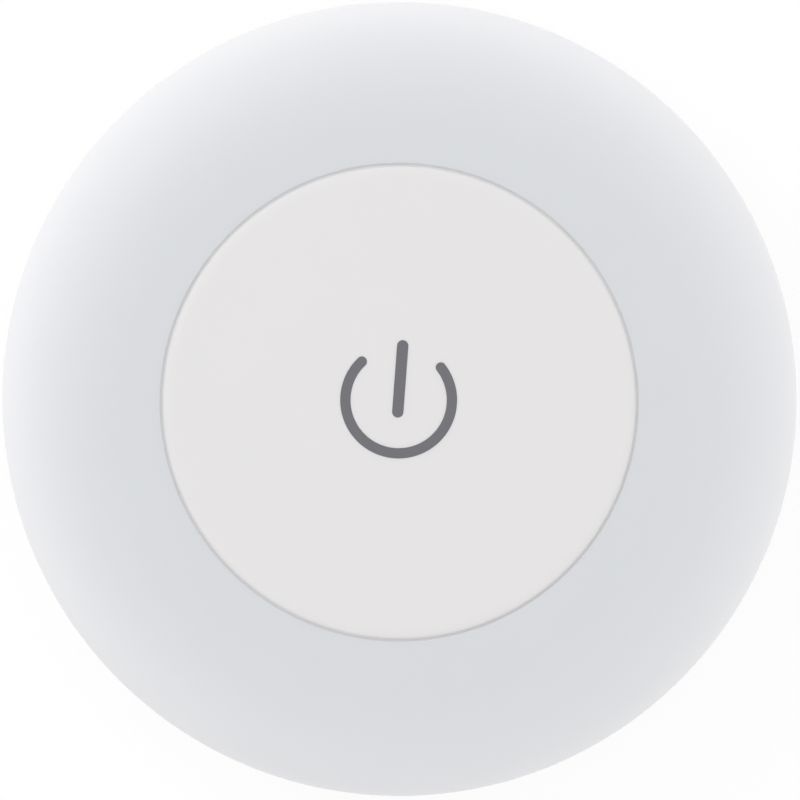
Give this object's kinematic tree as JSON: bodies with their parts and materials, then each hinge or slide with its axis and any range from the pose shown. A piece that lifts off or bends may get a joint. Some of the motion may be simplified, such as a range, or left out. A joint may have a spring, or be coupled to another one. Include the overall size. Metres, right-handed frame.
{
  "type": "under cabinet light",
  "caption": "Round battery light with a frosted ring round a central push button, and a twist-off back plate that is stuck or screwed under a cabinet.",
  "frame": {"origin": "middle of the back, on the foam pad's face that meets the cabinet", "axes": "+Z out of the front through the button, +Y to the top of the sign on the button, +X to its right"},
  "size_m": [0.08, 0.08, 0.024],
  "materials": {
    "shell_white": "fine satin moulded plastic",
    "frosted": "frosted, slightly translucent",
    "button_white": "fine matt moulded plastic",
    "inner_white": "plain moulded plastic",
    "foam": "closed-cell foam with a sticky face",
    "board_white": "white solder mask",
    "led_package": "yellow filling in a white package",
    "black_plastic": "matt black moulded plastic",
    "capacitor": "plain ceramic",
    "resistor": "glazed black film",
    "nickel": "nickel plated",
    "spring_steel": "bright drawn wire",
    "screw_steel": "zinc plated",
    "cell_jacket": "satin printed jacket"
  },
  "bodies": {
    "base": {"mounting_base": "shell_white", "adhesive_pad": "foam"},
    "lamp": {"rear_housing": "shell_white", "diffuser_ring": "frosted", "button_frame": "inner_white", "button_spring": "spring_steel", "circuit_board": "board_white", "led_1": "led_package", "led_2": "led_package", "led_3": "led_package", "led_4": "led_package", "led_5": "led_package", "led_6": "led_package", "control_chip": "black_plastic", "capacitor_1": "capacitor", "resistor_1": "resistor", "resistor_2": "resistor", "resistor_3": "resistor", "switch_body": "black_plastic", "switch_cover": "nickel", "aaa_cell_1": "cell_jacket", "aaa_cell_2": "cell_jacket", "aaa_cell_3": "cell_jacket", "positive_contact": "nickel", "negative_contact": "nickel", "bridge_contact_1": "nickel", "bridge_contact_2": "nickel", "frame_screw_1": "screw_steel", "frame_screw_2": "screw_steel", "board_screw_1": "screw_steel", "board_screw_2": "screw_steel"},
    "button": {"button_cap": "button_white"},
    "plunger": {"switch_plunger": "black_plastic"}
  },
  "joints": [
    {"name": "lamp_twist", "type": "hinge", "parent": "base", "child": "lamp", "pos_m": [0, 0, 0], "axis": [0, 0, 1], "range_deg": [0, 25]},
    {"name": "button_press", "type": "slide", "parent": "lamp", "child": "button", "axis": [0, 0, -1], "range_m": [0, 0.0006], "stiffness_N_per_m": 500, "springref_m": -0.003, "deforming": ["button_spring"]},
    {"name": "plunger_press", "type": "slide", "parent": "lamp", "child": "plunger", "axis": [0, 0, -1], "range_m": [0, 0.0003]}
  ],
  "couplings": [
    {"joint": "plunger_press", "follows": "button_press", "ratio": 0.5}
  ]
}
